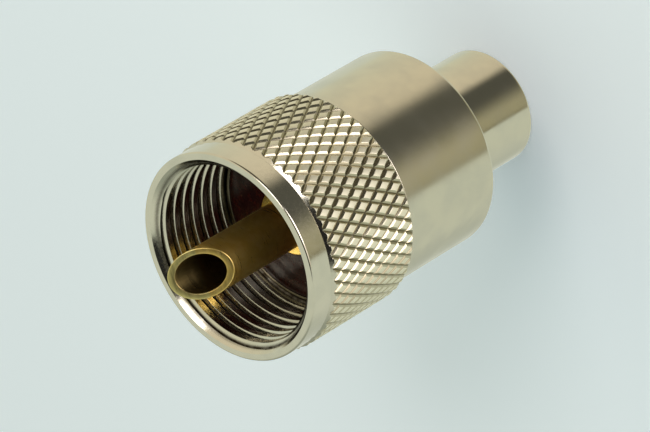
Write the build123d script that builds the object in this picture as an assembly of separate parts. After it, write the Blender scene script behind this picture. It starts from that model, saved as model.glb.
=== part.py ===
from build123d import *
import math
import os

# A coaxial cable plug with a loose coupling ring, standing on the end of its tail.
# The origin is the centre of the tail's end face and +Z runs along the axis, towards the pin.
# All sizes are in millimetres. Diameters end in _dia, and lengths run along the axis.

# Coupling ring with the 5/8-24 thread; the other round sizes follow the diameter of the thread's crests.
# The turns of the thread are separate grooves, as many as fit in front of its rear land.
thread_crest_dia = 14.8
thread_depth = 0.54
thread_pitch = 1.0583
thread_groove_mouth = 0.8
thread_groove_floor = 0.2
thread_rear_land = 1.1
ring_wall = 1.5
rim_set_back = 0.2
rim_length = 2.06
rim_edge = 0.15
mouth_bevel = 0.6
ring_rear_lead = 0.15
ring_rest_gap = 0.05

# Diamond knurl of the ring: two families of V grooves that cross
knurl_length = 9.69
knurl_depth = 0.25
knurl_groove_angle = 90.0
knurl_count = 52
diamond_length = 1.88

# Plug body, turned in one piece
tail_dia = 9.6
tail_length = 9.0
tail_edge = 0.3
barrel_shoulder = 1.05
barrel_length = 10.15
barrel_rear_edge = 0.35
barrel_front_edge = 0.12
shoulder_root = 0.2
neck_running_gap = 0.1
neck_land = 0.35
neck_lead = 0.15
cable_bore_dia = 5.4
cable_lead = 0.4

# Insulating bush, pressed into the neck
bush_flange_wall = 0.35
bush_flange_step = 1.05
bush_flange_length = 0.8
bush_body_length = 6.0
press_gap = 0.01

# Centre contact: a tube with a collar and a tip cut off at a slant, open towards -Y
pin_dia = 4.0
pin_wall = 0.45
pin_root_step = 0.4
pin_root_recess = 1.2
collar_step = 0.85
collar_length = 0.9
collar_edge = 0.15
tip_reach = 4.8
tip_slant = 40.0

# Split clip that keeps the ring on the neck
clip_in_neck = 0.55
clip_in_ring = 0.3
clip_length = 0.6
clip_opening = 24.0
clip_side_gap = 0.05
clip_round_gap = 0.12
clip_from_barrel = 0.9
ring_travel = 1.2
travel_spare = 0.1

# Diameters that follow from the sizes above
knurl_dia = thread_crest_dia + 2 * ring_wall
rim_dia = knurl_dia - 2 * rim_set_back
mouth_dia = thread_crest_dia + 2 * mouth_bevel
neck_dia = thread_crest_dia - 2 * neck_running_gap
barrel_dia = neck_dia + 2 * barrel_shoulder
bush_flange_dia = neck_dia - 2 * bush_flange_wall
bush_dia = bush_flange_dia - 2 * bush_flange_step
pin_bore_dia = pin_dia - 2 * pin_wall
pin_root_dia = pin_dia + 2 * pin_root_step
collar_dia = pin_dia + 2 * collar_step
clip_inner_dia = neck_dia - 2 * clip_in_neck
clip_outer_dia = thread_crest_dia + 2 * clip_in_ring

# Heights that follow from the sizes above
barrel_front = tail_length + barrel_length
clip_rear = barrel_front + clip_from_barrel
clip_front = clip_rear + clip_length
neck_groove_front = clip_front + ring_travel + travel_spare
bush_seat = neck_groove_front + neck_land
neck_front = bush_seat + bush_flange_length
bush_rear = bush_seat - bush_body_length
pin_root_rear = bush_rear + pin_root_recess
ring_rear = barrel_front + ring_rest_gap
knurl_front = ring_rear + knurl_length
ring_front = knurl_front + rim_length
tip_front = ring_front + tip_reach


def turned(corners):
    """Solid of revolution from corners of (diameter, height) or (diameter, height, rounding)."""
    outline = make_face(Polyline(*[(corner[0] / 2, corner[1]) for corner in corners], close=True))
    for corner in corners:
        if len(corner) == 3:
            place = Vector(corner[0] / 2, corner[1])
            nearest = min(outline.vertices(), key=lambda vertex: (Vector(vertex) - place).length)
            outline = fillet(nearest, corner[2])
    return revolve(Plane.XZ * outline, Axis.Z)


def plug_body():
    """Tail, barrel and neck, with the cable bore, the bush's seat and the clip's wide groove."""
    groove_dia = clip_inner_dia - 2 * clip_round_gap
    groove_rear = clip_rear - clip_side_gap
    return turned([
        (cable_bore_dia + 2 * cable_lead, 0),
        (tail_dia, 0, tail_edge),
        (tail_dia, tail_length, shoulder_root),
        (barrel_dia, tail_length, barrel_rear_edge),
        (barrel_dia, barrel_front, barrel_front_edge),
        (neck_dia, barrel_front),
        (neck_dia, groove_rear),
        (groove_dia, groove_rear),
        (groove_dia, neck_groove_front),
        (neck_dia, neck_groove_front),
        (neck_dia, neck_front, neck_lead),
        (bush_flange_dia + 2 * press_gap, neck_front),
        (bush_flange_dia + 2 * press_gap, bush_seat),
        (bush_dia + 2 * press_gap, bush_seat),
        (bush_dia + 2 * press_gap, bush_rear),
        (cable_bore_dia, bush_rear),
        (cable_bore_dia, cable_lead),
    ])


def insulator():
    """Flanged bush that carries the centre contact, its face level with the neck's edge."""
    return turned([
        (pin_root_dia + 2 * press_gap, bush_rear),
        (bush_dia, bush_rear),
        (bush_dia, bush_seat),
        (bush_flange_dia, bush_seat),
        (bush_flange_dia, neck_front),
        (pin_root_dia + 2 * press_gap, neck_front),
    ])


def centre_pin():
    """Hollow contact with its collar on the bush's face and a slanted open tip."""
    collar_front = neck_front + collar_length
    tube = turned([
        (pin_bore_dia, pin_root_rear),
        (pin_root_dia, pin_root_rear),
        (pin_root_dia, neck_front),
        (collar_dia, neck_front),
        (collar_dia, collar_front, collar_edge),
        (pin_dia, collar_front),
        (pin_dia, tip_front),
        (pin_bore_dia, tip_front),
    ])
    far_edge = Plane(origin=(0, pin_dia / 2, tip_front), z_dir=(0, 0, 1)).rotated((tip_slant, 0, 0))
    return split(tube, bisect_by=far_edge, keep=Keep.BOTTOM)


def snap_ring():
    """Flat split clip, half in the neck's groove and half in the ring's."""
    clip = turned([
        (clip_inner_dia, clip_rear),
        (clip_outer_dia, clip_rear),
        (clip_outer_dia, clip_front),
        (clip_inner_dia, clip_front),
    ])
    half_opening = clip_outer_dia * math.tan(math.radians(clip_opening / 2))
    wedge = Polyline((0, 0), (clip_outer_dia, half_opening), (clip_outer_dia, -half_opening), close=True)
    return clip - extrude(Plane.XY.offset(clip_front) * make_face(wedge), clip_length, both=True)


def knurl_flat_share():
    """Share of a diamond's length that stays flat between its grooves."""
    half_width = math.pi * knurl_dia / knurl_count / 2
    half_length = diamond_length / 2
    groove_spacing = 2 * half_width * half_length / math.hypot(half_width, half_length)
    groove_width = 2 * knurl_depth * math.tan(math.radians(knurl_groove_angle / 2))
    return 1 - groove_width / groove_spacing


def knurled_blank():
    """Solid bar with the crossing grooves on its outside, made of flat faces."""
    groove_radius = knurl_dia / 2 - knurl_depth
    half_angle = math.pi / knurl_count
    half_length = diamond_length / 2
    rows = int(knurl_length / half_length)
    first_height = ring_rear + (knurl_length - rows * half_length) / 2
    flat = knurl_flat_share()
    bevel = knurl_depth / half_length
    # Half the width of a flat, for which the sides of a groove are flat faces too
    corner_sag = groove_radius * (1 - math.cos(half_angle)) * (1 - flat)
    flat_half_width = groove_radius * math.sin(half_angle) * flat * knurl_depth / (knurl_depth + corner_sag)
    faces = []

    def face(*corners):
        faces.append(Face(Wire.make_polygon(corners, close=True)))

    def root(step, row):
        """Point where two grooves cross."""
        angle = half_angle * step
        outward = Vector(math.cos(angle), math.sin(angle)) * groove_radius
        return outward + Vector(0, 0, first_height + row * half_length)

    def crest(step, row, across=0.0):
        """Point on the flat of the diamond at a step, beside its middle."""
        angle = half_angle * step
        outward = Vector(math.cos(angle), math.sin(angle)) * (knurl_dia / 2)
        sideways = Vector(-math.sin(angle), math.cos(angle)) * across
        return outward + sideways + Vector(0, 0, first_height + row * half_length)

    def full_diamond(step, row):
        roots = [root(step - 1, row), root(step, row + 1), root(step + 1, row), root(step, row - 1)]
        flats = [
            crest(step, row, -flat_half_width),
            crest(step, row + flat),
            crest(step, row, flat_half_width),
            crest(step, row - flat),
        ]
        face(*flats)
        for i in range(4):
            face(roots[i - 1], roots[i], flats[i], flats[i - 1])

    def end_diamond(step, row, inward):
        """Half a diamond at an end of the knurl, bevelled down to the grooves' depth."""
        edge = row + inward * bevel
        half_edge = flat_half_width * (1 - bevel / flat)
        roots = [root(step - 1, row), root(step, row + inward), root(step + 1, row)]
        flats = [crest(step, edge, -half_edge), crest(step, row + inward * flat), crest(step, edge, half_edge)]
        face(*flats)
        for i in range(3):
            face(roots[i - 1], roots[i], flats[i], flats[i - 1])

    def land(row, height):
        """Plain band between an end row and the knurl's end at a height, with the end's face."""
        level = [root(step, row) for step in range((row + 1) % 2, 2 * knurl_count, 2)]
        ends = [Vector(corner.X, corner.Y, height) for corner in level]
        for i in range(knurl_count):
            face(level[i - 1], level[i], ends[i], ends[i - 1])
        face(*ends)

    for row in range(rows + 1):
        for step in range(row % 2, 2 * knurl_count, 2):
            if row == 0:
                end_diamond(step, row, 1)
            elif row == rows:
                end_diamond(step, row, -1)
            else:
                full_diamond(step, row)
    land(0, ring_rear)
    land(rows, knurl_front)
    return Solid(Shell(faces))


def thread_grooves():
    """Corners of the thread's grooves, from the rear one to the last under the mouth's bevel."""
    root_dia = thread_crest_dia + 2 * thread_depth
    thread_front = ring_front - mouth_bevel
    thread_length = thread_front - clip_front - clip_side_gap - thread_rear_land
    corners = []
    for turn in reversed(range(int(thread_length / thread_pitch))):
        middle = thread_front - (turn + 0.5) * thread_pitch
        corners += [
            (thread_crest_dia, middle - thread_groove_mouth / 2),
            (root_dia, middle - thread_groove_floor / 2),
            (root_dia, middle + thread_groove_floor / 2),
            (thread_crest_dia, middle + thread_groove_mouth / 2),
        ]
    return corners


def coupling_ring():
    """Knurled ring with a plain rim, the thread's bore and the clip's narrow groove."""
    groove_dia = clip_outer_dia + 2 * clip_round_gap
    rim = turned([
        (0, knurl_front - rim_length),
        (mouth_dia, knurl_front - rim_length),
        (mouth_dia, knurl_front),
        (rim_dia, knurl_front),
        (rim_dia, ring_front, rim_edge),
        (0, ring_front),
    ])
    bore = turned([
        (0, ring_rear),
        (thread_crest_dia + 2 * ring_rear_lead, ring_rear),
        (thread_crest_dia, ring_rear + ring_rear_lead),
        (thread_crest_dia, clip_rear - clip_side_gap),
        (groove_dia, clip_rear - clip_side_gap),
        (groove_dia, clip_front + clip_side_gap),
        (thread_crest_dia, clip_front + clip_side_gap),
        *thread_grooves(),
        (thread_crest_dia, ring_front - mouth_bevel),
        (mouth_dia, ring_front),
        (0, ring_front),
    ])
    return knurled_blank() + rim - bore


pieces = {
    "plug_body": plug_body,
    "insulator": insulator,
    "centre_pin": centre_pin,
    "snap_ring": snap_ring,
    "coupling_ring": coupling_ring,
}
os.makedirs("parts", exist_ok=True)
for name, make in pieces.items():
    export_step(make(), f"parts/{name}.step")
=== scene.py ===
import math
from functools import partial

import bmesh
import bpy
from mathutils import Matrix, Vector

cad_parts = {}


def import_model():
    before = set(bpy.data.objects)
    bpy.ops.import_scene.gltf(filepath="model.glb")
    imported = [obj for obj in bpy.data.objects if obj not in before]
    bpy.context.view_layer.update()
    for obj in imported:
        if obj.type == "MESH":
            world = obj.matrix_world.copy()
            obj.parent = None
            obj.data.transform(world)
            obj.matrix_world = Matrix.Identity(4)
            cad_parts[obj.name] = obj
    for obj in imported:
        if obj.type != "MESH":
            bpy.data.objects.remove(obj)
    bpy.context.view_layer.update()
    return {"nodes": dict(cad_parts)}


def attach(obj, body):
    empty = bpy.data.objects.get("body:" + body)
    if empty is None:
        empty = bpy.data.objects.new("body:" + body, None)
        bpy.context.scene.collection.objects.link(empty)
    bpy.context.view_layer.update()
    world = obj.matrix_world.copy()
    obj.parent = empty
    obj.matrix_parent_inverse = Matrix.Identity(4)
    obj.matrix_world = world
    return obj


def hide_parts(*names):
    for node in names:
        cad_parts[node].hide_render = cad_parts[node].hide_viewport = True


# A coaxial plug with a knurled coupling ring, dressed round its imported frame.
# Sizes are in millimetres until a mesh is made. Z runs along the plug's axis, from the tail to the contact.
MM = 0.001

# Photograph's view; the view's near and far limits are in metres
PHOTO_WIDTH = 650
FOCAL_PIXELS = 5424.24
SENSOR_WIDTH = 36.0
VIEW_AZIMUTH = 19.2
VIEW_ELEVATION = 40.19
VIEW_ROLL = 120.766
VIEW_AIM = (-2.362, 3.578, 16.973)
VIEW_DISTANCE = 426.65
VIEW_CLIP = (0.01, 20.0)

# Directions of the photograph's table, seen from the plug
TABLE_UP = Vector((0.8806, -0.4730, 0.0281)).normalized()
TABLE_BACK = Vector((0.315, 0.539, -0.782)).normalized()
TABLE_RIGHT = TABLE_BACK.cross(TABLE_UP).normalized()

# Meshes of the turned pieces
TURN_STEPS = 208
FILLET_STEPS = 5
FILLET_GUARD = 0.03
MERGE_DISTANCE = 0.0005
FLAT_DISTANCE = 0.0002
SHARP_ANGLE = math.radians(38)
RING_SHARP_ANGLE = math.radians(30)

# Plug body and bush; names that end in EDGE or ROOT are the roundings of corners
TAIL_RADIUS = 4.8
TAIL_LENGTH = 9.0
TAIL_EDGE = 0.3
BARREL_RADIUS = 8.35
BARREL_FRONT = 19.15
BARREL_REAR_EDGE = 0.35
BARREL_FRONT_EDGE = 0.12
SHOULDER_ROOT = 0.2
NECK_RADIUS = 7.3
NECK_FRONT = 23.1
NECK_EDGE = 0.15
CLIP_GROOVE_RADIUS = 6.63
CLIP_GROOVE = (20.0, 21.95)
GROOVE_EDGE = 0.04
CABLE_BORE_RADIUS = 2.7
CABLE_LEAD = 0.4
FINE_EDGE = 0.05
BUSH_RADIUS = 5.9
BUSH_FLANGE_RADIUS = 6.95
BUSH_SEAT = 22.3
BUSH_REAR = 16.3
BUSH_REAR_EDGE = 0.15
BUSH_FRONT_EDGE = 0.12
PRESS_GAP = 0.01

# Centre contact
CONTACT_STEPS = 128
CONTACT_RADIUS = 2.0
CONTACT_BORE_RADIUS = 1.55
CONTACT_ROOT_RADIUS = 2.4
CONTACT_ROOT_REAR = 17.5
CONTACT_ROOT_EDGE = 0.1
COLLAR_RADIUS = 2.85
COLLAR_FRONT = 24.0
COLLAR_EDGE = 0.15
COLLAR_FOOT_EDGE = 0.03
COLLAR_ROOT = 0.04
TIP_FRONT = 35.75
TIP_SLANT = math.radians(40)
TIP_MIDDLE = TIP_FRONT - CONTACT_RADIUS * math.tan(TIP_SLANT)
LIP_EDGE = 0.05
LIP_STEPS = 3
LIP_DEPTH = 0.3

# Coupling ring
RING_REAR = 19.2
RING_FRONT = 30.95
RING_LEAD = 0.15
RING_REAR_EDGE = 0.03
RIM_RADIUS = 8.7
RIM_EDGE = 0.18
RIM_FOOT_EDGE = 0.03
MOUTH_RADIUS = 8.1
MOUTH_EDGE = 0.06
CLIP_SLOT_RADIUS = 7.82
CLIP_SLOT = (20.0, 20.7)
SKIN_GAP = 0.04
SKIN_STEP = 0.05

# Thread in the ring
CREST_RADIUS = 7.4
THREAD_ROOT_RADIUS = 7.94
THREAD_PITCH = 25.4 / 24
THREAD_REAR = 22.4
THREAD_FRONT = RING_FRONT - (MOUTH_RADIUS - THREAD_ROOT_RADIUS)
THREAD_REAR_SLOPE = 0.3
THREAD_START = 114.0
THREAD_SPARE_TURNS = 2
THREAD_STEPS_TURN = 120
THREAD_STEPS_PITCH = 16
CREST_SHARE = 0.5
FADE_PITCHES = 1.2

# Knurl on the ring
KNURL_FRONT = 28.89
KNURL_RADIUS = 8.9
KNURL_ROOT_RADIUS = 8.735
UNDER_KNURL_RADIUS = 8.42
KNURL_BEVEL = 0.4
BEVEL_FOOT_RADIUS = 8.5
BEVEL_STEPS = 4
CUT_DISTANCE = 0.0001
TEETH_ROUND = 52
KNURL_ROWS = 10
SPARE_ROWS = 3
TOOTH_LENGTH = 1.88
TOOTH_WEAR = 0.012
WEAR_SEED = 7
# Tooth's cross-cuts, as shares of the way from its middle line to a groove, each with its share of the depth
TOOTH_CUTS = ((0.0, 1.0), (0.5, 1.0), (0.56, 0.97), (0.62, 0.86), (0.81, 0.43), (1.0, 0.0))


# Nodes

ACROSS = 1
HEIGHT = 2


def node_maker(tree):
    """Function that adds a node to a tree, with its settings and with values or links for its inputs."""
    def add(kind, *values, out=0, **settings):
        node = tree.nodes.new(kind)
        for name, setting in settings.items():
            setattr(node, name, setting)
        inputs = [socket for socket in node.inputs if socket.enabled]
        for socket, value in zip(inputs, values):
            if isinstance(value, bpy.types.NodeSocket):
                tree.links.new(value, socket)
            elif value is not None:
                socket.default_value = value
        return [socket for socket in node.outputs if socket.enabled][out]
    return add


def link_to(tree, value, node, name):
    tree.links.new(value, node.inputs[name])


def calculate(add, operation, *values, **settings):
    return add("ShaderNodeMath", *values, operation=operation, **settings)


def dot_product(add, first, direction):
    return add("ShaderNodeVectorMath", first, tuple(direction), operation="DOT_PRODUCT", out=0)


def ramp(add, value, band, ends=(0.0, 1.0), kind="SMOOTHSTEP"):
    """Value that goes from the first end to the second while the given one crosses the band."""
    return add("ShaderNodeMapRange", value, *band, *ends, interpolation_type=kind)


def straight_ramp(add, value, band, ends=(0.0, 1.0)):
    return ramp(add, value, band, ends, "LINEAR")


def blend_colour(add, factor, first, second):
    node = add("ShaderNodeMix", data_type="RGBA").node
    tree = node.id_data
    for index, value in ((0, factor), (6, first), (7, second)):
        if isinstance(value, bpy.types.NodeSocket):
            tree.links.new(value, node.inputs[index])
        else:
            node.inputs[index].default_value = value if index == 0 else (*value, 1)
    return node.outputs[2]


def bump(add, height, distance, strength, normal=None):
    node = add("ShaderNodeBump").node
    node.inputs["Strength"].default_value = strength
    node.inputs["Distance"].default_value = distance * MM
    node.id_data.links.new(height, node.inputs["Height"])
    if normal is not None:
        node.id_data.links.new(normal, node.inputs["Normal"])
    return node.outputs["Normal"]


def place(add):
    """Place on the piece in millimetres."""
    here = add("ShaderNodeTexCoord", out=3)
    return add("ShaderNodeVectorMath", here, 1 / MM, operation="SCALE")


def part_of(add, here, axis):
    """Part of a place along Y (ACROSS) or along Z (HEIGHT)."""
    return add("ShaderNodeSeparateXYZ", here, out=axis)


def radius_of(add, here):
    """Distance of a place from the plug's axis."""
    flat = add("ShaderNodeVectorMath", here, (1, 1, 0), operation="MULTIPLY")
    return add("ShaderNodeVectorMath", flat, operation="LENGTH", out=0)


def noise(add, here, recipe):
    """Noise by a recipe of scale, detail and roughness."""
    return add("ShaderNodeTexNoise", here, *recipe)


def turning_marks(add, here, stretch, recipe):
    """Noise drawn out round the axis, as a lathe leaves its marks."""
    return noise(add, add("ShaderNodeVectorMath", here, stretch, operation="MULTIPLY"), recipe)


# Materials. PLAIN is a material's colour and roughness without its noise. A band holds the limits between
# which a value changes, and a bump its depth and its strength.

TINT_BAND = (0.35, 0.7)
MOTTLE_BAND = (0.35, 0.65)
WIDE_BAND = (0.3, 0.7)

SATIN_PLAIN = ((0.66, 0.62, 0.49), 0.25)
SATIN_LIGHT = (0.67, 0.63, 0.5)
SATIN_DARK = (0.62, 0.59, 0.48)
# Painted shade on the neck's front end, round the bush
SATIN_PAINTED_SHADE = (0.06, 0.045, 0.025)
SATIN_CLOUD = (0.45, 2.0, 0.5)
SATIN_GRAIN = (16.0, 3.0, 0.6)
SATIN_GRAIN_BUMP = (0.002, 0.25)
SATIN_MARKS = (1.0, 2.0, 0.55)
SATIN_MARKS_STRETCH = (0.15, 0.15, 14.0)
MARKS_BUMP = (0.002, 0.3)
BARREL_STARTS = (TAIL_LENGTH - 0.05, TAIL_LENGTH + 0.1)
TAIL_TO_BARREL_ROUGHNESS = (0.14, 0.19)
SATIN_ROUGHNESS_SPREAD = (-0.025, 0.035)
NECK_SHADE_STARTS = (NECK_FRONT - 0.25, NECK_FRONT - 0.15)
NECK_SHADE = (0.0, 0.8)


def surface(name, colour, roughness, metallic=1.0):
    """Material with its tree, its shader's node and the tree's node adder."""
    material = bpy.data.materials.new(name)
    material.use_nodes = True
    tree = material.node_tree
    shader = tree.nodes["Principled BSDF"]
    shader.inputs["Base Color"].default_value = (*colour, 1)
    shader.inputs["Metallic"].default_value = metallic
    shader.inputs["Roughness"].default_value = roughness
    return material, tree, shader, node_maker(tree)


def satin_nickel():
    """Plate on the body: satin on the barrel and brighter on the tail, with faint turning marks and painted
    shade on the neck's front end round the bush.
    """
    material, tree, shader, add = surface("satin_nickel", *SATIN_PLAIN)
    here = place(add)
    height = part_of(add, here, HEIGHT)
    cloud = noise(add, here, SATIN_CLOUD)
    base = ramp(add, height, BARREL_STARTS, TAIL_TO_BARREL_ROUGHNESS)
    spread = straight_ramp(add, cloud, WIDE_BAND, SATIN_ROUGHNESS_SPREAD)
    link_to(tree, calculate(add, "ADD", spread, base), shader, "Roughness")
    tint = blend_colour(add, ramp(add, cloud, TINT_BAND), SATIN_LIGHT, SATIN_DARK)
    # Painted shade on the neck's front end, round the bush
    end = ramp(add, height, NECK_SHADE_STARTS, NECK_SHADE)
    link_to(tree, blend_colour(add, end, tint, SATIN_PAINTED_SHADE), shader, "Base Color")
    fine = bump(add, noise(add, here, SATIN_GRAIN), *SATIN_GRAIN_BUMP)
    marks = turning_marks(add, here, SATIN_MARKS_STRETCH, SATIN_MARKS)
    link_to(tree, bump(add, marks, *MARKS_BUMP, fine), shader, "Normal")
    return material


BRIGHT_PLAIN = ((0.68, 0.64, 0.51), 0.14)
BRIGHT_LIGHT = (0.69, 0.65, 0.53)
BRIGHT_DARK = (0.64, 0.61, 0.5)
SLOPE_PLATE = (0.53, 0.49, 0.35)
TOP_PLATE = (0.86, 0.83, 0.66)
# Painted shade in the thread's grooves and deep inside the ring
THREAD_PAINTED_SHADE = (0.03, 0.02, 0.01)
# Dark in the knurl's grooves: partly dirt, partly painted shade
KNURL_SHADE_AND_DIRT = (0.16, 0.14, 0.08)
BRIGHT_CLOUD = (0.5, 2.0, 0.5)
BRIGHT_SCUFFS = (5.0, 3.0, 0.6)
BRIGHT_GRAIN = (12.0, 3.0, 0.6)
BRIGHT_GRAIN_BUMP = (0.003, 0.4)
BRIGHT_ROUGHNESS = (0.10, 0.2)
KNURL_EXTRA_ROUGHNESS = 0.05
TOP_EXTRA_ROUGHNESS = 0.33
SHADE_AND_DIRT_ROUGHNESS = 0.3
OUTSIDE_STARTS = (8.25, 8.3)
UNDER_BEVEL = (0.01, 0.02)
TOP_STARTS = (KNURL_RADIUS - 0.028, KNURL_RADIUS - 0.014)
# Darker towards the knurl's roots: partly dirt, partly painted shade
KNURL_SHADE_AND_DIRT_RADII = (KNURL_ROOT_RADIUS, KNURL_ROOT_RADIUS + 0.07)
KNURL_SHADE_AND_DIRT_SHARE = (0.8, 0.0)
# Painted shade: darker towards the thread's roots and at its rear, none at the mouth
THREAD_SHADE_RADII = (CREST_RADIUS + 0.14, THREAD_ROOT_RADIUS - 0.16)
THREAD_SHADE_SHARE = (0.0, 0.95)
BOTTOM_SHADE_ENDS = (THREAD_REAR + 0.6, THREAD_REAR + 1.3)
BOTTOM_SHADE_SHARE = (0.9, 0.0)
UNSHADED_MOUTH_STARTS = (RING_FRONT - 0.5, RING_FRONT - 0.15)
SHADE_PATCHES = (1.6, 3.0, 0.6)
SHADE_PATCHES_BAND = (0.3, 0.6)
SHADE_PATCHES_SPREAD = (0.85, 1.1)


def knurl_mask(add, radius, height):
    """1 where the knurl lies under both bevels' planes, 0 on the bevels."""
    to_front = calculate(add, "SUBTRACT", KNURL_FRONT, height)
    to_rear = calculate(add, "SUBTRACT", height, RING_REAR)
    cone = calculate(add, "ADD", calculate(add, "MINIMUM", to_front, to_rear), BEVEL_FOOT_RADIUS)
    return straight_ramp(add, calculate(add, "SUBTRACT", cone, radius), UNDER_BEVEL)


def ring_shade_and_dirt(add, here, radius, height, outside, knurl):
    """Share of painted shade: inside in the thread's grooves and at its rear, less towards the mouth, and in
    the knurl's grooves, where it is partly dirt.
    """
    # Darker towards the knurl's roots: partly dirt, partly painted shade
    on_knurl = calculate(add, "MULTIPLY", ramp(add, radius, KNURL_SHADE_AND_DIRT_RADII, KNURL_SHADE_AND_DIRT_SHARE), knurl)
    # Painted shade, dark towards the thread's roots
    in_thread = ramp(add, radius, THREAD_SHADE_RADII, THREAD_SHADE_SHARE)
    # Painted shade deep in the ring, at the thread's rear
    at_bottom = ramp(add, height, BOTTOM_SHADE_ENDS, BOTTOM_SHADE_SHARE)
    inside = calculate(add, "MAXIMUM", in_thread, at_bottom)
    # The painted shade fades out towards the mouth
    inside = calculate(add, "MULTIPLY", inside, ramp(add, height, UNSHADED_MOUTH_STARTS, (1.0, 0.0)))
    shade_and_dirt = add("ShaderNodeMix", outside, inside, on_knurl)
    patches = straight_ramp(add, noise(add, here, SHADE_PATCHES), SHADE_PATCHES_BAND, SHADE_PATCHES_SPREAD)
    return calculate(add, "MULTIPLY", shade_and_dirt, patches, use_clamp=True)


def bright_nickel():
    """Plate on the coupling ring, with painted shade in the grooves of the thread and the knurl; in the knurl's
    grooves the dark is partly dirt.
    """
    material, tree, shader, add = surface("bright_nickel", *BRIGHT_PLAIN)
    here = place(add)
    radius, height = radius_of(add, here), part_of(add, here, HEIGHT)
    outside = straight_ramp(add, radius, OUTSIDE_STARTS)
    knurl = calculate(add, "MULTIPLY", knurl_mask(add, radius, height), outside)
    top = ramp(add, radius, TOP_STARTS)
    # Painted shade in the thread's grooves and deep inside; in the knurl's grooves partly dirt, partly painted
    # shade
    shade_and_dirt = ring_shade_and_dirt(add, here, radius, height, outside, knurl)
    # The knurl's slopes are dulled, and its tops are worn matt and pale
    tint = ramp(add, noise(add, here, BRIGHT_CLOUD), TINT_BAND)
    plate = blend_colour(add, tint, BRIGHT_LIGHT, BRIGHT_DARK)
    plate = blend_colour(add, knurl, plate, SLOPE_PLATE)
    plate = blend_colour(add, top, plate, TOP_PLATE)
    # Colours of the painted shade: near black inside, olive in the knurl's grooves
    shade_colour = blend_colour(add, outside, THREAD_PAINTED_SHADE, KNURL_SHADE_AND_DIRT)
    link_to(tree, blend_colour(add, shade_and_dirt, plate, shade_colour), shader, "Base Color")
    rough = straight_ramp(add, noise(add, here, BRIGHT_SCUFFS), WIDE_BAND, BRIGHT_ROUGHNESS)
    rough = calculate(add, "MULTIPLY_ADD", knurl, KNURL_EXTRA_ROUGHNESS, rough)
    rough = calculate(add, "MULTIPLY_ADD", top, TOP_EXTRA_ROUGHNESS, rough)
    rough = calculate(add, "MULTIPLY_ADD", shade_and_dirt, SHADE_AND_DIRT_ROUGHNESS, rough)
    link_to(tree, rough, shader, "Roughness")
    grain = noise(add, here, BRIGHT_GRAIN)
    link_to(tree, bump(add, grain, *BRIGHT_GRAIN_BUMP), shader, "Normal")
    return material


GILT_PLAIN = ((0.83, 0.62, 0.24), 0.2)
GILT_LIGHT = (0.98, 0.72, 0.24)
GILT_DARK = (0.9, 0.64, 0.18)
GILT_RUBBED = (0.86, 0.74, 0.3)
# Painted shade inside the tube
GILT_INSIDE_SHADE = (0.16, 0.09, 0.03)
GILT_CLOUD = (1.2, 3.0, 0.6)
GILT_MARKS = (1.0, 3.0, 0.6)
GILT_MARKS_STRETCH = (0.3, 0.3, 12.0)
GILT_ROUGHNESS_SPREAD = (-0.03, 0.08)
COLLAR_TO_TUBE = (COLLAR_FRONT, COLLAR_FRONT + 0.1)
COLLAR_TO_TUBE_ROUGHNESS = (0.16, 0.3)
BORE_STARTS = (CONTACT_BORE_RADIUS, CONTACT_BORE_RADIUS + 0.06)
BORE_SHADE = (0.75, 0.0)
RUBBED_STARTS = (TIP_MIDDLE - 0.35, TIP_MIDDLE - 0.05)


def gilt_brass():
    """Thin gold wash on the contact's brass, rubbed paler on the tip's high side, with painted shade inside the
    tube.
    """
    material, tree, shader, add = surface("gilt_brass", *GILT_PLAIN)
    here = place(add)
    radius, height = radius_of(add, here), part_of(add, here, HEIGHT)
    cloud = noise(add, here, GILT_CLOUD)
    wash = blend_colour(add, ramp(add, cloud, MOTTLE_BAND), GILT_LIGHT, GILT_DARK)
    slanted = calculate(add, "MULTIPLY_ADD", part_of(add, here, ACROSS), math.tan(TIP_SLANT), height)
    wash = blend_colour(add, ramp(add, slanted, RUBBED_STARTS), wash, GILT_RUBBED)
    # Painted shade inside the tube
    inside = ramp(add, radius, BORE_STARTS, BORE_SHADE)
    link_to(tree, blend_colour(add, inside, wash, GILT_INSIDE_SHADE), shader, "Base Color")
    marks = turning_marks(add, here, GILT_MARKS_STRETCH, GILT_MARKS)
    base = ramp(add, height, COLLAR_TO_TUBE, COLLAR_TO_TUBE_ROUGHNESS)
    spread = straight_ramp(add, marks, WIDE_BAND, GILT_ROUGHNESS_SPREAD)
    link_to(tree, calculate(add, "ADD", spread, base), shader, "Roughness")
    link_to(tree, bump(add, marks, *MARKS_BUMP), shader, "Normal")
    return material


RESIN_PLAIN = ((0.13, 0.03, 0.03), 0.25)
RESIN_LIGHT = (0.035, 0.006, 0.005)
RESIN_DARK = (0.014, 0.003, 0.004)
RESIN_INDEX = 1.36
RESIN_MOTTLE = (1.8, 4.0, 0.65)
RESIN_ROUGHNESS = (0.14, 0.28)
RESIN_SKIN = (3.0, 2.0, 0.5)
RESIN_SKIN_BUMP = (0.01, 0.4)


def dark_resin():
    """Dark red moulded resin with a faint mottle and a glossy skin."""
    material, tree, shader, add = surface("dark_resin", *RESIN_PLAIN, metallic=0.0)
    shader.inputs["IOR"].default_value = RESIN_INDEX
    here = place(add)
    mottle = noise(add, here, RESIN_MOTTLE)
    colour = blend_colour(add, ramp(add, mottle, MOTTLE_BAND), RESIN_LIGHT, RESIN_DARK)
    link_to(tree, colour, shader, "Base Color")
    link_to(tree, straight_ramp(add, mottle, WIDE_BAND, RESIN_ROUGHNESS), shader, "Roughness")
    link_to(tree, bump(add, noise(add, here, RESIN_SKIN), *RESIN_SKIN_BUMP), shader, "Normal")
    return material


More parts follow.
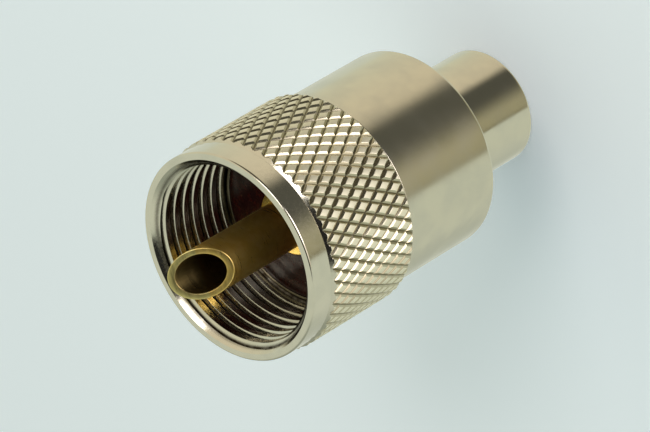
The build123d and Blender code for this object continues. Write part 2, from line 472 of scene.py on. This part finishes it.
STRIP_PLAIN = ((0.55, 0.54, 0.52), 0.3)
STRIP_LIGHT = (0.6, 0.58, 0.55)
STRIP_DARK = (0.42, 0.41, 0.4)
STRIP_ROLLED = (6.0, 3.0, 0.6)
STRIP_ROUGHNESS = (0.22, 0.4)
STRIP_BUMP = (0.003, 0.4)


def spring_strip():
    """Grey rolled strip of the hidden clip."""
    material, tree, shader, add = surface("spring_strip", *STRIP_PLAIN)
    rolled = noise(add, place(add), STRIP_ROLLED)
    link_to(tree, straight_ramp(add, rolled, WIDE_BAND, STRIP_ROUGHNESS), shader, "Roughness")
    link_to(tree, blend_colour(add, rolled, STRIP_LIGHT, STRIP_DARK), shader, "Base Color")
    link_to(tree, bump(add, rolled, *STRIP_BUMP), shader, "Normal")
    return material


# Meshes of the turned pieces

def mesh_object(name, points, faces, material=None):
    mesh = bpy.data.meshes.new(name)
    mesh.from_pydata([Vector(point) * MM for point in points], [], faces)
    piece = bpy.data.objects.new(name, mesh)
    bpy.context.scene.collection.objects.link(piece)
    if material:
        mesh.materials.append(material)
    return piece


def merge_doubles(work):
    bmesh.ops.remove_doubles(work, verts=work.verts, dist=MERGE_DISTANCE * MM)


def drop_flat_faces(work):
    bmesh.ops.dissolve_degenerate(work, edges=work.edges, dist=FLAT_DISTANCE * MM)


def tidy_mesh(mesh):
    """Merges doubled points, drops faces without area and turns the faces outwards."""
    work = bmesh.new()
    work.from_mesh(mesh)
    merge_doubles(work)
    drop_flat_faces(work)
    bmesh.ops.recalc_face_normals(work, faces=work.faces)
    work.to_mesh(mesh)
    work.free()
    mesh.shade_smooth()
    mesh.set_sharp_from_angle(angle=SHARP_ANGLE)


def rounded(corners):
    """Outline of (radius, height) from corners of (radius, height) or (radius, height, rounding)."""
    outline = []
    for i, corner in enumerate(corners):
        here = Vector(corner[:2])
        if len(corner) < 3:
            outline.append(here)
            continue
        before, after = Vector(corners[i - 1][:2]), Vector(corners[(i + 1) % len(corners)][:2])
        to_before, to_after = (before - here).normalized(), (after - here).normalized()
        half = to_before.angle(to_after) / 2
        reach = corner[2] / math.tan(half)
        centre = here + (to_before + to_after).normalized() * (corner[2] / math.sin(half))
        start, end = here + to_before * reach - centre, here + to_after * reach - centre
        sweep = start.angle_signed(end)
        outline.append(here + to_before * (reach + FILLET_GUARD))
        for step in range(FILLET_STEPS + 1):
            turn = Matrix.Rotation(-sweep * step / FILLET_STEPS, 2)
            outline.append(centre + turn @ start)
        outline.append(here + to_after * (reach + FILLET_GUARD))
    return outline


def turned_faces(count, steps):
    """Faces between the copies of a closed outline of so many points, turned once round."""
    faces = []
    for step in range(steps):
        following = (step + 1) % steps
        for k in range(count):
            k2 = (k + 1) % count
            faces.append((step * count + k, step * count + k2, following * count + k2, following * count + k))
    return faces


def turned_piece(name, corners, material):
    """Piece made by turning an outline round the Z axis."""
    outline = rounded(corners)
    points = []
    for step in range(TURN_STEPS):
        angle = 2 * math.pi * step / TURN_STEPS
        points += [(r * math.cos(angle), r * math.sin(angle), z) for r, z in outline]
    piece = mesh_object(name, points, turned_faces(len(outline), TURN_STEPS), material)
    tidy_mesh(piece.data)
    return piece


def body_turned(material):
    return turned_piece("body_turned", [
        (CABLE_BORE_RADIUS + CABLE_LEAD, 0, FINE_EDGE),
        (TAIL_RADIUS, 0, TAIL_EDGE),
        (TAIL_RADIUS, TAIL_LENGTH, SHOULDER_ROOT),
        (BARREL_RADIUS, TAIL_LENGTH, BARREL_REAR_EDGE),
        (BARREL_RADIUS, BARREL_FRONT, BARREL_FRONT_EDGE),
        (NECK_RADIUS, BARREL_FRONT),
        (NECK_RADIUS, CLIP_GROOVE[0], GROOVE_EDGE),
        (CLIP_GROOVE_RADIUS, CLIP_GROOVE[0]),
        (CLIP_GROOVE_RADIUS, CLIP_GROOVE[1]),
        (NECK_RADIUS, CLIP_GROOVE[1], GROOVE_EDGE),
        (NECK_RADIUS, NECK_FRONT, NECK_EDGE),
        (BUSH_FLANGE_RADIUS + PRESS_GAP, NECK_FRONT, FINE_EDGE),
        (BUSH_FLANGE_RADIUS + PRESS_GAP, BUSH_SEAT),
        (BUSH_RADIUS + PRESS_GAP, BUSH_SEAT),
        (BUSH_RADIUS + PRESS_GAP, BUSH_REAR),
        (CABLE_BORE_RADIUS, BUSH_REAR),
        (CABLE_BORE_RADIUS, CABLE_LEAD, FINE_EDGE),
    ], material)


def bush_moulded(material):
    return turned_piece("bush_moulded", [
        (CONTACT_ROOT_RADIUS + PRESS_GAP, BUSH_REAR),
        (BUSH_RADIUS, BUSH_REAR, BUSH_REAR_EDGE),
        (BUSH_RADIUS, BUSH_SEAT),
        (BUSH_FLANGE_RADIUS, BUSH_SEAT),
        (BUSH_FLANGE_RADIUS, NECK_FRONT, BUSH_FRONT_EDGE),
        (CONTACT_ROOT_RADIUS + PRESS_GAP, NECK_FRONT),
    ], material)


def lip_outline():
    """Radius and depth under the cut's plane, for the points round the tip's lip from outside to inside."""
    quarters = [math.pi / 2 * k / LIP_STEPS for k in range(LIP_STEPS + 1)]
    outline = [(CONTACT_RADIUS, LIP_DEPTH), (CONTACT_RADIUS, LIP_EDGE + FILLET_GUARD)]
    for angle in quarters:
        inward, sunk = LIP_EDGE * (1 - math.cos(angle)), LIP_EDGE * (1 - math.sin(angle))
        outline.append((CONTACT_RADIUS - inward, sunk))
    for angle in quarters:
        outward, sunk = LIP_EDGE * (1 - math.sin(angle)), LIP_EDGE * (1 - math.cos(angle))
        outline.append((CONTACT_BORE_RADIUS + outward, sunk))
    return outline + [(CONTACT_BORE_RADIUS, LIP_EDGE + FILLET_GUARD), (CONTACT_BORE_RADIUS, LIP_DEPTH)]


def contact_tube(material):
    """Tube with a collar, cut off at a slant; the cut's edges are rounded a little."""
    outline = rounded([
        (CONTACT_BORE_RADIUS, CONTACT_ROOT_REAR, FINE_EDGE),
        (CONTACT_ROOT_RADIUS, CONTACT_ROOT_REAR, CONTACT_ROOT_EDGE),
        (CONTACT_ROOT_RADIUS, NECK_FRONT),
        (COLLAR_RADIUS, NECK_FRONT, COLLAR_FOOT_EDGE),
        (COLLAR_RADIUS, COLLAR_FRONT, COLLAR_EDGE),
        (CONTACT_RADIUS, COLLAR_FRONT, COLLAR_ROOT),
        (CONTACT_RADIUS, TIP_FRONT),
        (CONTACT_BORE_RADIUS, TIP_FRONT),
    ])
    # The outline's last two corners, at the tip, give way to the slanted lip
    body = outline[:-2]
    lip = lip_outline()
    slope = math.tan(TIP_SLANT)
    points = []
    for step in range(CONTACT_STEPS):
        angle = 2 * math.pi * step / CONTACT_STEPS
        x, y = math.cos(angle), math.sin(angle)
        points += [(r * x, r * y, z) for r, z in body]
        points += [(r * x, r * y, TIP_FRONT - (CONTACT_RADIUS - r * y) * slope - depth) for r, depth in lip]
    piece = mesh_object("contact_tube", points, turned_faces(len(body) + len(lip), CONTACT_STEPS), material)
    tidy_mesh(piece.data)
    return piece


def ring_shell(material):
    """Ring without its knurl and thread: rear face, running bore, clip slot, mouth and rim."""
    wall = THREAD_ROOT_RADIUS + SKIN_GAP
    return turned_piece("ring_dressed", [
        (CREST_RADIUS + RING_LEAD, RING_REAR, RING_REAR_EDGE),
        (BEVEL_FOOT_RADIUS, RING_REAR),
        (UNDER_KNURL_RADIUS, RING_REAR + SKIN_GAP),
        (UNDER_KNURL_RADIUS, KNURL_FRONT),
        (RIM_RADIUS, KNURL_FRONT, RIM_FOOT_EDGE),
        (RIM_RADIUS, RING_FRONT, RIM_EDGE),
        (MOUTH_RADIUS, RING_FRONT, MOUTH_EDGE),
        (THREAD_ROOT_RADIUS, THREAD_FRONT),
        (wall, THREAD_FRONT - SKIN_STEP),
        (wall, THREAD_REAR + THREAD_REAR_SLOPE),
        (CREST_RADIUS, THREAD_REAR),
        (CREST_RADIUS, CLIP_SLOT[1], GROOVE_EDGE),
        (CLIP_SLOT_RADIUS, CLIP_SLOT[1]),
        (CLIP_SLOT_RADIUS, CLIP_SLOT[0]),
        (CREST_RADIUS, CLIP_SLOT[0], GROOVE_EDGE),
        (CREST_RADIUS, RING_REAR + RING_LEAD, GROOVE_EDGE),
    ], material)


# Knurl and thread, made by Geometry Nodes

def new_tree(name, inputs):
    """Geometry tree with named inputs; also its node adder, and its inputs by name."""
    tree = bpy.data.node_groups.new(name, "GeometryNodeTree")
    tree.interface.new_socket("Geometry", in_out="INPUT", socket_type="NodeSocketGeometry")
    tree.interface.new_socket("Geometry", in_out="OUTPUT", socket_type="NodeSocketGeometry")
    for label, kind in inputs:
        tree.interface.new_socket(label, in_out="INPUT", socket_type="NodeSocket" + kind)
    return tree, node_maker(tree), tree.nodes.new("NodeGroupInput").outputs


def end_tree(tree, add, geometry, material):
    """The tree's last nodes: real meshes, and their material."""
    geometry = add("GeometryNodeRealizeInstances", geometry)
    geometry = add("GeometryNodeSetMaterial", geometry, None, material)
    tree.links.new(geometry, tree.nodes.new("NodeGroupOutput").inputs[0])


def run_tree(piece, tree, values):
    """Plain mesh that the tree makes of a piece with these named values."""
    modifier = piece.modifiers.new(tree.name, "NODES")
    modifier.node_group = tree
    for item in tree.interface.items_tree:
        if item.in_out == "INPUT" and item.name in values:
            modifier[item.identifier] = values[item.name]
    graph = bpy.context.evaluated_depsgraph_get()
    made = bpy.data.meshes.new_from_object(piece.evaluated_get(graph))
    piece.modifiers.remove(modifier)
    return made


def knurl_tooth():
    """One tooth of the knurl at angle 0: a flat top, and four slopes down to the grooves round it."""
    cuts = [(-cut, share) for cut, share in reversed(TOOTH_CUTS[1:])] + list(TOOTH_CUTS)
    count = len(cuts)
    depth = KNURL_RADIUS - KNURL_ROOT_RADIUS
    points, faces = [], []
    for a, share_a in cuts:
        for b, share_b in cuts:
            radius = KNURL_ROOT_RADIUS + depth * min(share_a, share_b)
            angle = (a - b) / 2 * math.pi / TEETH_ROUND
            points.append((radius * math.cos(angle), radius * math.sin(angle), (a + b) / 2 * TOOTH_LENGTH / 2))
    for i in range(count - 1):
        for k in range(count - 1):
            near, far = i * count + k, (i + 1) * count + k
            # Faces on a hip between two slopes are halved along it
            if i == k:
                faces += [(near, far, far + 1), (near, far + 1, near + 1)]
            elif i + k == count - 2:
                faces += [(near, far, near + 1), (far, far + 1, near + 1)]
            else:
                faces.append((near, far, far + 1, near + 1))
    return mesh_object("knurl_tooth", points, faces)


def knurl_tree(material):
    """Rows of teeth round the ring, each row half a tooth round from the last, and each tooth worn a little."""
    tree, add, given = new_tree("diamond knurl", [
        ("Tooth", "Object"), ("Teeth round", "Int"), ("Rows", "Int"),
        ("Row step", "Float"), ("First row", "Float"), ("Wear", "Float"), ("Seed", "Int"),
        ("Flat radius", "Float"), ("Root radius", "Float"),
    ])
    calc = partial(calculate, add)
    points = add("GeometryNodePoints", calc("MULTIPLY", given["Teeth round"], given["Rows"]))
    index = add("GeometryNodeInputIndex")
    row = calc("FLOOR", calc("DIVIDE", index, given["Teeth round"]))
    stagger = calc("MULTIPLY", calc("MODULO", row, 2.0), 0.5)
    share_round = calc("DIVIDE", calc("ADD", index, stagger), given["Teeth round"])
    angle = calc("MULTIPLY", share_round, 2 * math.pi)
    height = calc("MULTIPLY_ADD", row, given["Row step"], given["First row"])
    points = add("GeometryNodeSetPosition", points, None, add("ShaderNodeCombineXYZ", 0.0, 0.0, height))
    wear = add("FunctionNodeRandomValue", 0.0, given["Wear"], None, given["Seed"], data_type="FLOAT")
    points = add("GeometryNodeStoreNamedAttribute", points, None, "wear", wear,
                 data_type="FLOAT", domain="POINT")
    tooth = add("GeometryNodeObjectInfo", given["Tooth"], True, out=4)
    spin = add("ShaderNodeCombineXYZ", 0.0, 0.0, angle)
    teeth = add("GeometryNodeInstanceOnPoints", points, None, tooth, None, None, spin)
    real = add("GeometryNodeRealizeInstances", teeth)

    # Only the tops wear down; the grooves stay where the neighbours meet
    flat = add("ShaderNodeVectorMath", add("GeometryNodeInputPosition"), (1, 1, 0), operation="MULTIPLY")
    radius = add("ShaderNodeVectorMath", flat, operation="LENGTH", out=0)
    share = add("ShaderNodeMapRange", radius, given["Root radius"], given["Flat radius"], 0.0, -1.0)
    lost = calc("MULTIPLY", share, add("GeometryNodeInputNamedAttribute", "wear", data_type="FLOAT"))
    outward = add("ShaderNodeVectorMath", flat, operation="NORMALIZE")
    shift = add("ShaderNodeVectorMath", outward, lost, operation="SCALE")
    real = add("GeometryNodeSetPosition", real, None, None, shift)
    end_tree(tree, add, add("GeometryNodeRemoveAttribute", real, "wear"), material)
    return tree


def thread_tree(material):
    """Right-handed inside thread: its grooves fade at the rear, and the mouth's bevel cuts its crests."""
    tree, add, given = new_tree("inside thread", [
        ("Turns", "Int"), ("Steps a turn", "Int"), ("Steps a pitch", "Int"),
        ("Pitch", "Float"), ("Start", "Float"), ("Rear", "Float"), ("Front", "Float"),
        ("Crest radius", "Float"), ("Root radius", "Float"),
    ])
    calc = partial(calculate, add)
    # The grid's length runs along the helix, and its width across one pitch
    columns = calc("ADD", calc("MULTIPLY", given["Turns"], given["Steps a turn"]), 1.0)
    rows = calc("ADD", given["Steps a pitch"], 1.0)
    grid = add("GeometryNodeMeshGrid", 1.0, 1.0, columns, rows)
    split = add("ShaderNodeSeparateXYZ", add("GeometryNodeInputPosition")).node.outputs
    across = calc("ADD", split[1], 0.5)
    turns = calc("MULTIPLY", calc("ADD", split[0], 0.5), given["Turns"])
    angle = calc("MULTIPLY_ADD", turns, 2 * math.pi, given["Start"])
    first = calc("SUBTRACT", given["Rear"], given["Pitch"])
    height = calc("MULTIPLY_ADD", calc("ADD", turns, across), given["Pitch"], first)
    height = calc("MAXIMUM", calc("MINIMUM", height, given["Front"]), given["Rear"])
    from_crest = calc("SUBTRACT", 1.0, calc("ABSOLUTE", calc("MULTIPLY_ADD", across, 2.0, -1.0)))
    groove = add("ShaderNodeMapRange", from_crest, CREST_SHARE, 1.0, 0.0, 1.0)
    fade_end = calc("MULTIPLY_ADD", given["Pitch"], FADE_PITCHES, given["Rear"])
    fade = ramp(add, height, (given["Rear"], fade_end))
    depth = calc("SUBTRACT", given["Root radius"], given["Crest radius"])
    radius = calc("MULTIPLY_ADD", calc("MULTIPLY", groove, fade), depth, given["Crest radius"])
    bevel = calc("ADD", calc("SUBTRACT", height, given["Front"]), given["Root radius"])
    radius = calc("MAXIMUM", radius, bevel)
    x = calc("MULTIPLY", radius, calc("COSINE", angle))
    y = calc("MULTIPLY", radius, calc("SINE", angle))
    skin = add("GeometryNodeSetPosition", grid, None, add("ShaderNodeCombineXYZ", x, y, height))
    end_tree(tree, add, skin, material)
    return tree


def bevel_knurl(work):
    """Cuts the knurl off at both ends, and bevels the teeth there down to the bevel's foot."""
    shallow = KNURL_ROOT_RADIUS - BEVEL_FOOT_RADIUS
    deep = KNURL_BEVEL - shallow
    levels = [0.0] + [shallow + deep * step / BEVEL_STEPS for step in range(BEVEL_STEPS + 1)]
    for end, inward in ((RING_REAR, 1), (KNURL_FRONT, -1)):
        for level in levels:
            bmesh.ops.bisect_plane(
                work, geom=[*work.verts, *work.edges, *work.faces], dist=CUT_DISTANCE * MM,
                plane_co=(0, 0, (end + inward * level) * MM), plane_no=(0, 0, -inward),
                clear_outer=level == 0.0)
    for vert in work.verts:
        sideways = Vector((vert.co.x, vert.co.y))
        room = min(vert.co.z - RING_REAR * MM, KNURL_FRONT * MM - vert.co.z) + BEVEL_FOOT_RADIUS * MM
        if sideways.length > room:
            vert.co.xy = sideways.normalized() * room


def clean_skin(mesh, side, shape=None):
    """Merges a skin's doubled points, shapes it, and turns its faces outwards (side 1) or inwards (side -1)."""
    work = bmesh.new()
    work.from_mesh(mesh)
    merge_doubles(work)
    if shape:
        shape(work)
    drop_flat_faces(work)
    work.normal_update()
    for face in work.faces:
        centre = face.calc_center_median()
        if face.normal.dot(Vector((centre.x, centre.y, 0))) * side < 0:
            face.normal_flip()
    work.to_mesh(mesh)
    work.free()


def knurl_skin(carrier, material):
    tooth = knurl_tooth()
    row_step = TOOTH_LENGTH / 2
    land = (KNURL_FRONT - RING_REAR - KNURL_ROWS * row_step) / 2
    skin = run_tree(carrier, knurl_tree(material), {
        "Tooth": tooth, "Teeth round": TEETH_ROUND, "Rows": KNURL_ROWS + SPARE_ROWS, "Row step": row_step * MM,
        "First row": (RING_REAR + land - row_step) * MM, "Wear": TOOTH_WEAR * MM, "Seed": WEAR_SEED,
        "Flat radius": KNURL_RADIUS * MM, "Root radius": KNURL_ROOT_RADIUS * MM,
    })
    bpy.data.objects.remove(tooth)
    clean_skin(skin, 1, bevel_knurl)
    return skin


def thread_skin(carrier, material):
    skin = run_tree(carrier, thread_tree(material), {
        "Turns": math.ceil((THREAD_FRONT - THREAD_REAR) / THREAD_PITCH) + THREAD_SPARE_TURNS,
        "Steps a turn": THREAD_STEPS_TURN, "Steps a pitch": THREAD_STEPS_PITCH, "Pitch": THREAD_PITCH * MM,
        "Start": math.radians(THREAD_START), "Rear": THREAD_REAR * MM, "Front": THREAD_FRONT * MM,
        "Crest radius": CREST_RADIUS * MM, "Root radius": THREAD_ROOT_RADIUS * MM,
    })
    clean_skin(skin, -1)
    return skin


def coupling_ring(material):
    """Shell, knurl and thread of the ring in one mesh."""
    ring = ring_shell(material)
    carrier = mesh_object("ring_carrier", [(0, 0, 0)], [])
    work = bmesh.new()
    for part in (ring.data, knurl_skin(carrier, material), thread_skin(carrier, material)):
        work.from_mesh(part)
    work.to_mesh(ring.data)
    work.free()
    bpy.data.objects.remove(carrier)
    ring.data.materials.clear()
    ring.data.materials.append(material)
    for face in ring.data.polygons:
        face.material_index = 0
    ring.data.shade_smooth()
    ring.data.set_sharp_from_angle(angle=RING_SHARP_ANGLE)
    return ring


# Stage

FLOOR_PLAIN = ((0.95, 1.0, 1.0), 0.7)
FLOOR_SPECULAR = 0.2
FLOOR_GLOW = (0.2, 0.52, 1.0)
FLOOR_GLOW_STRENGTH = 0.13
FLOOR_HALF = 900.0

# Lamps round a point of the axis: name, parts of the direction along the table's axes, width, power, colour
LAMP_DISTANCE = 300
LAMP_TARGET = (0, 0, 20)
LAMPS = (
    ("left_window", (0.69, -0.61, -0.40), 155, 0.22, (1.0, 0.96, 0.97)),
    ("right_window", (0.64, -0.35, 0.68), 185, 0.28, (1.0, 0.93, 0.98)),
)

# Room that the plate mirrors; its bands and edges are parts of the looking direction
WALL_LOW = (0.74, 0.76, 0.62)
WALL_HIGH = (0.84, 0.76, 0.60)
WALL_BAND = (0.0, 0.7)
WALL_LEAN = -0.66
WALL_EDGE = (-0.1, 0.2)
CEILING = (0.10, 0.09, 0.07)
CEILING_STARTS = (0.72, 0.84)
DARK_SIDE_LOW = (0.42, 0.40, 0.27)
DARK_SIDE_HIGH = (0.10, 0.10, 0.085)
DARK_SIDE_BAND = (0.25, 0.62)
SKIRTING = (0.1, 0.08, 0.04)
SKIRTING_BAND = (0.0, 0.12)
SKIRTING_SHARE = (0.45, 1.0)
WINDOW_GLOW = (1.25, 1.15, 1.05)
WINDOW_DIRECTION = (0.46, -0.42, 0.78)
WINDOW_EDGE = (0.85, 0.95)
FRONT_DARK = (0.02, 0.02, 0.02)
FRONT_DIRECTION = (0.21, -0.97, 0.1)
FRONT_EDGE = (0.87, 0.93)
TABLE_LOW = (0.70, 0.74, 0.65)
TABLE_HIGH = (0.72, 0.77, 0.68)
TABLE_BAND = (-0.8, 0.0)
TABLE_SHADE = (0.38, 0.42, 0.36)
TABLE_SHADE_BAND = (-0.95, -0.65)
HORIZON = (-0.01, 0.02)


def set_camera():
    azimuth, elevation, roll = (math.radians(angle) for angle in (VIEW_AZIMUTH, VIEW_ELEVATION, VIEW_ROLL))
    back = Vector((
        math.sin(azimuth) * math.cos(elevation), -math.cos(azimuth) * math.cos(elevation), math.sin(elevation)))
    right = Vector((math.cos(azimuth), math.sin(azimuth), 0))
    down = (-back).cross(right)
    rolled_right = right * math.cos(roll) + down * math.sin(roll)
    rolled_up = right * math.sin(roll) - down * math.cos(roll)
    data = bpy.data.cameras.new("photo_camera")
    data.sensor_width = SENSOR_WIDTH
    data.lens = FOCAL_PIXELS / PHOTO_WIDTH * SENSOR_WIDTH
    data.clip_start, data.clip_end = VIEW_CLIP
    camera = bpy.data.objects.new("photo_camera", data)
    bpy.context.scene.collection.objects.link(camera)
    turn = Matrix((rolled_right, rolled_up, back)).transposed().to_4x4()
    camera.matrix_world = Matrix.Translation((Vector(VIEW_AIM) + back * VIEW_DISTANCE) * MM) @ turn
    bpy.context.scene.camera = camera


def set_floor():
    material, _, shader, _ = surface("pale_floor", *FLOOR_PLAIN, metallic=0.0)
    shader.inputs["Emission Color"].default_value = (*FLOOR_GLOW, 1)
    shader.inputs["Emission Strength"].default_value = FLOOR_GLOW_STRENGTH
    shader.inputs["Specular IOR Level"].default_value = FLOOR_SPECULAR
    corners = [(x * FLOOR_HALF, y * FLOOR_HALF, 0) for x, y in ((-1, -1), (1, -1), (1, 1), (-1, 1))]
    floor = mesh_object("floor", corners, [(0, 1, 2, 3)], material)
    floor.visible_glossy = floor.visible_diffuse = floor.visible_shadow = False


def seen_from_table(up, back, right):
    """Direction given by its parts along the photograph's table."""
    return TABLE_UP * up + TABLE_BACK * back + TABLE_RIGHT * right


def soft_lamp(name, direction, width, power, colour):
    data = bpy.data.lights.new(name, "AREA")
    data.shape = "DISK"
    data.size = width * MM
    data.energy = power
    data.color = colour
    lamp = bpy.data.objects.new(name, data)
    bpy.context.scene.collection.objects.link(lamp)
    direction = seen_from_table(*direction).normalized()
    turn = direction.to_track_quat("Z", "Y").to_matrix().to_4x4()
    spot = (Vector(LAMP_TARGET) + direction * LAMP_DISTANCE) * MM
    lamp.matrix_world = Matrix.Translation(spot) @ turn


def set_room():
    """Pale table below, a broad pale wall of light behind and dark room on the right, all round the plug."""
    world = bpy.data.worlds.new("studio")
    bpy.context.scene.world = world
    world.use_nodes = True
    tree = world.node_tree
    add = node_maker(tree)
    away = add("ShaderNodeTexCoord", out=0)
    up, back, right = (dot_product(add, away, axis) for axis in (TABLE_UP, TABLE_BACK, TABLE_RIGHT))
    lit = ramp(add, calculate(add, "MULTIPLY_ADD", back, WALL_LEAN, right), WALL_EDGE, (1.0, 0.0))
    wall = blend_colour(add, straight_ramp(add, up, WALL_BAND), WALL_LOW, WALL_HIGH)
    wall = blend_colour(add, ramp(add, up, CEILING_STARTS), wall, CEILING)
    dark = blend_colour(add, ramp(add, up, DARK_SIDE_BAND), DARK_SIDE_LOW, DARK_SIDE_HIGH)
    room = blend_colour(add, lit, dark, wall)
    above = calculate(add, "MAXIMUM", ramp(add, up, SKIRTING_BAND, SKIRTING_SHARE), lit)
    room = blend_colour(add, above, SKIRTING, room)
    window = dot_product(add, away, seen_from_table(*WINDOW_DIRECTION))
    room = blend_colour(add, ramp(add, window, WINDOW_EDGE), room, WINDOW_GLOW)
    table = blend_colour(add, straight_ramp(add, up, TABLE_BAND), TABLE_LOW, TABLE_HIGH)
    table = blend_colour(add, ramp(add, up, TABLE_SHADE_BAND), TABLE_SHADE, table)
    room = blend_colour(add, ramp(add, up, HORIZON), table, room)
    # Dark shape in front, and its shade on the table
    front = dot_product(add, away, seen_from_table(*FRONT_DIRECTION))
    room = blend_colour(add, ramp(add, front, FRONT_EDGE), room, FRONT_DARK)
    link_to(tree, room, tree.nodes["Background"], "Color")


def main():
    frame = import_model()
    for piece, body, node, slot in (
        (body_turned(satin_nickel()), "plug", "plug_body", "body_nickel"),
        (bush_moulded(dark_resin()), "plug", "insulator", "bush_resin"),
        (contact_tube(gilt_brass()), "plug", "centre_pin", "pin_brass"),
        (coupling_ring(bright_nickel()), "ring", "coupling_ring", "ring_nickel"),
    ):
        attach(piece, body)
        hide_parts(node)
    clip = frame["nodes"]["snap_ring"]
    clip.data.materials.clear()
    clip.data.materials.append(spring_strip())

    set_camera()
    set_floor()
    set_room()
    for lamp in LAMPS:
        soft_lamp(*lamp)
    bpy.context.scene.view_settings.view_transform = "Standard"


main()
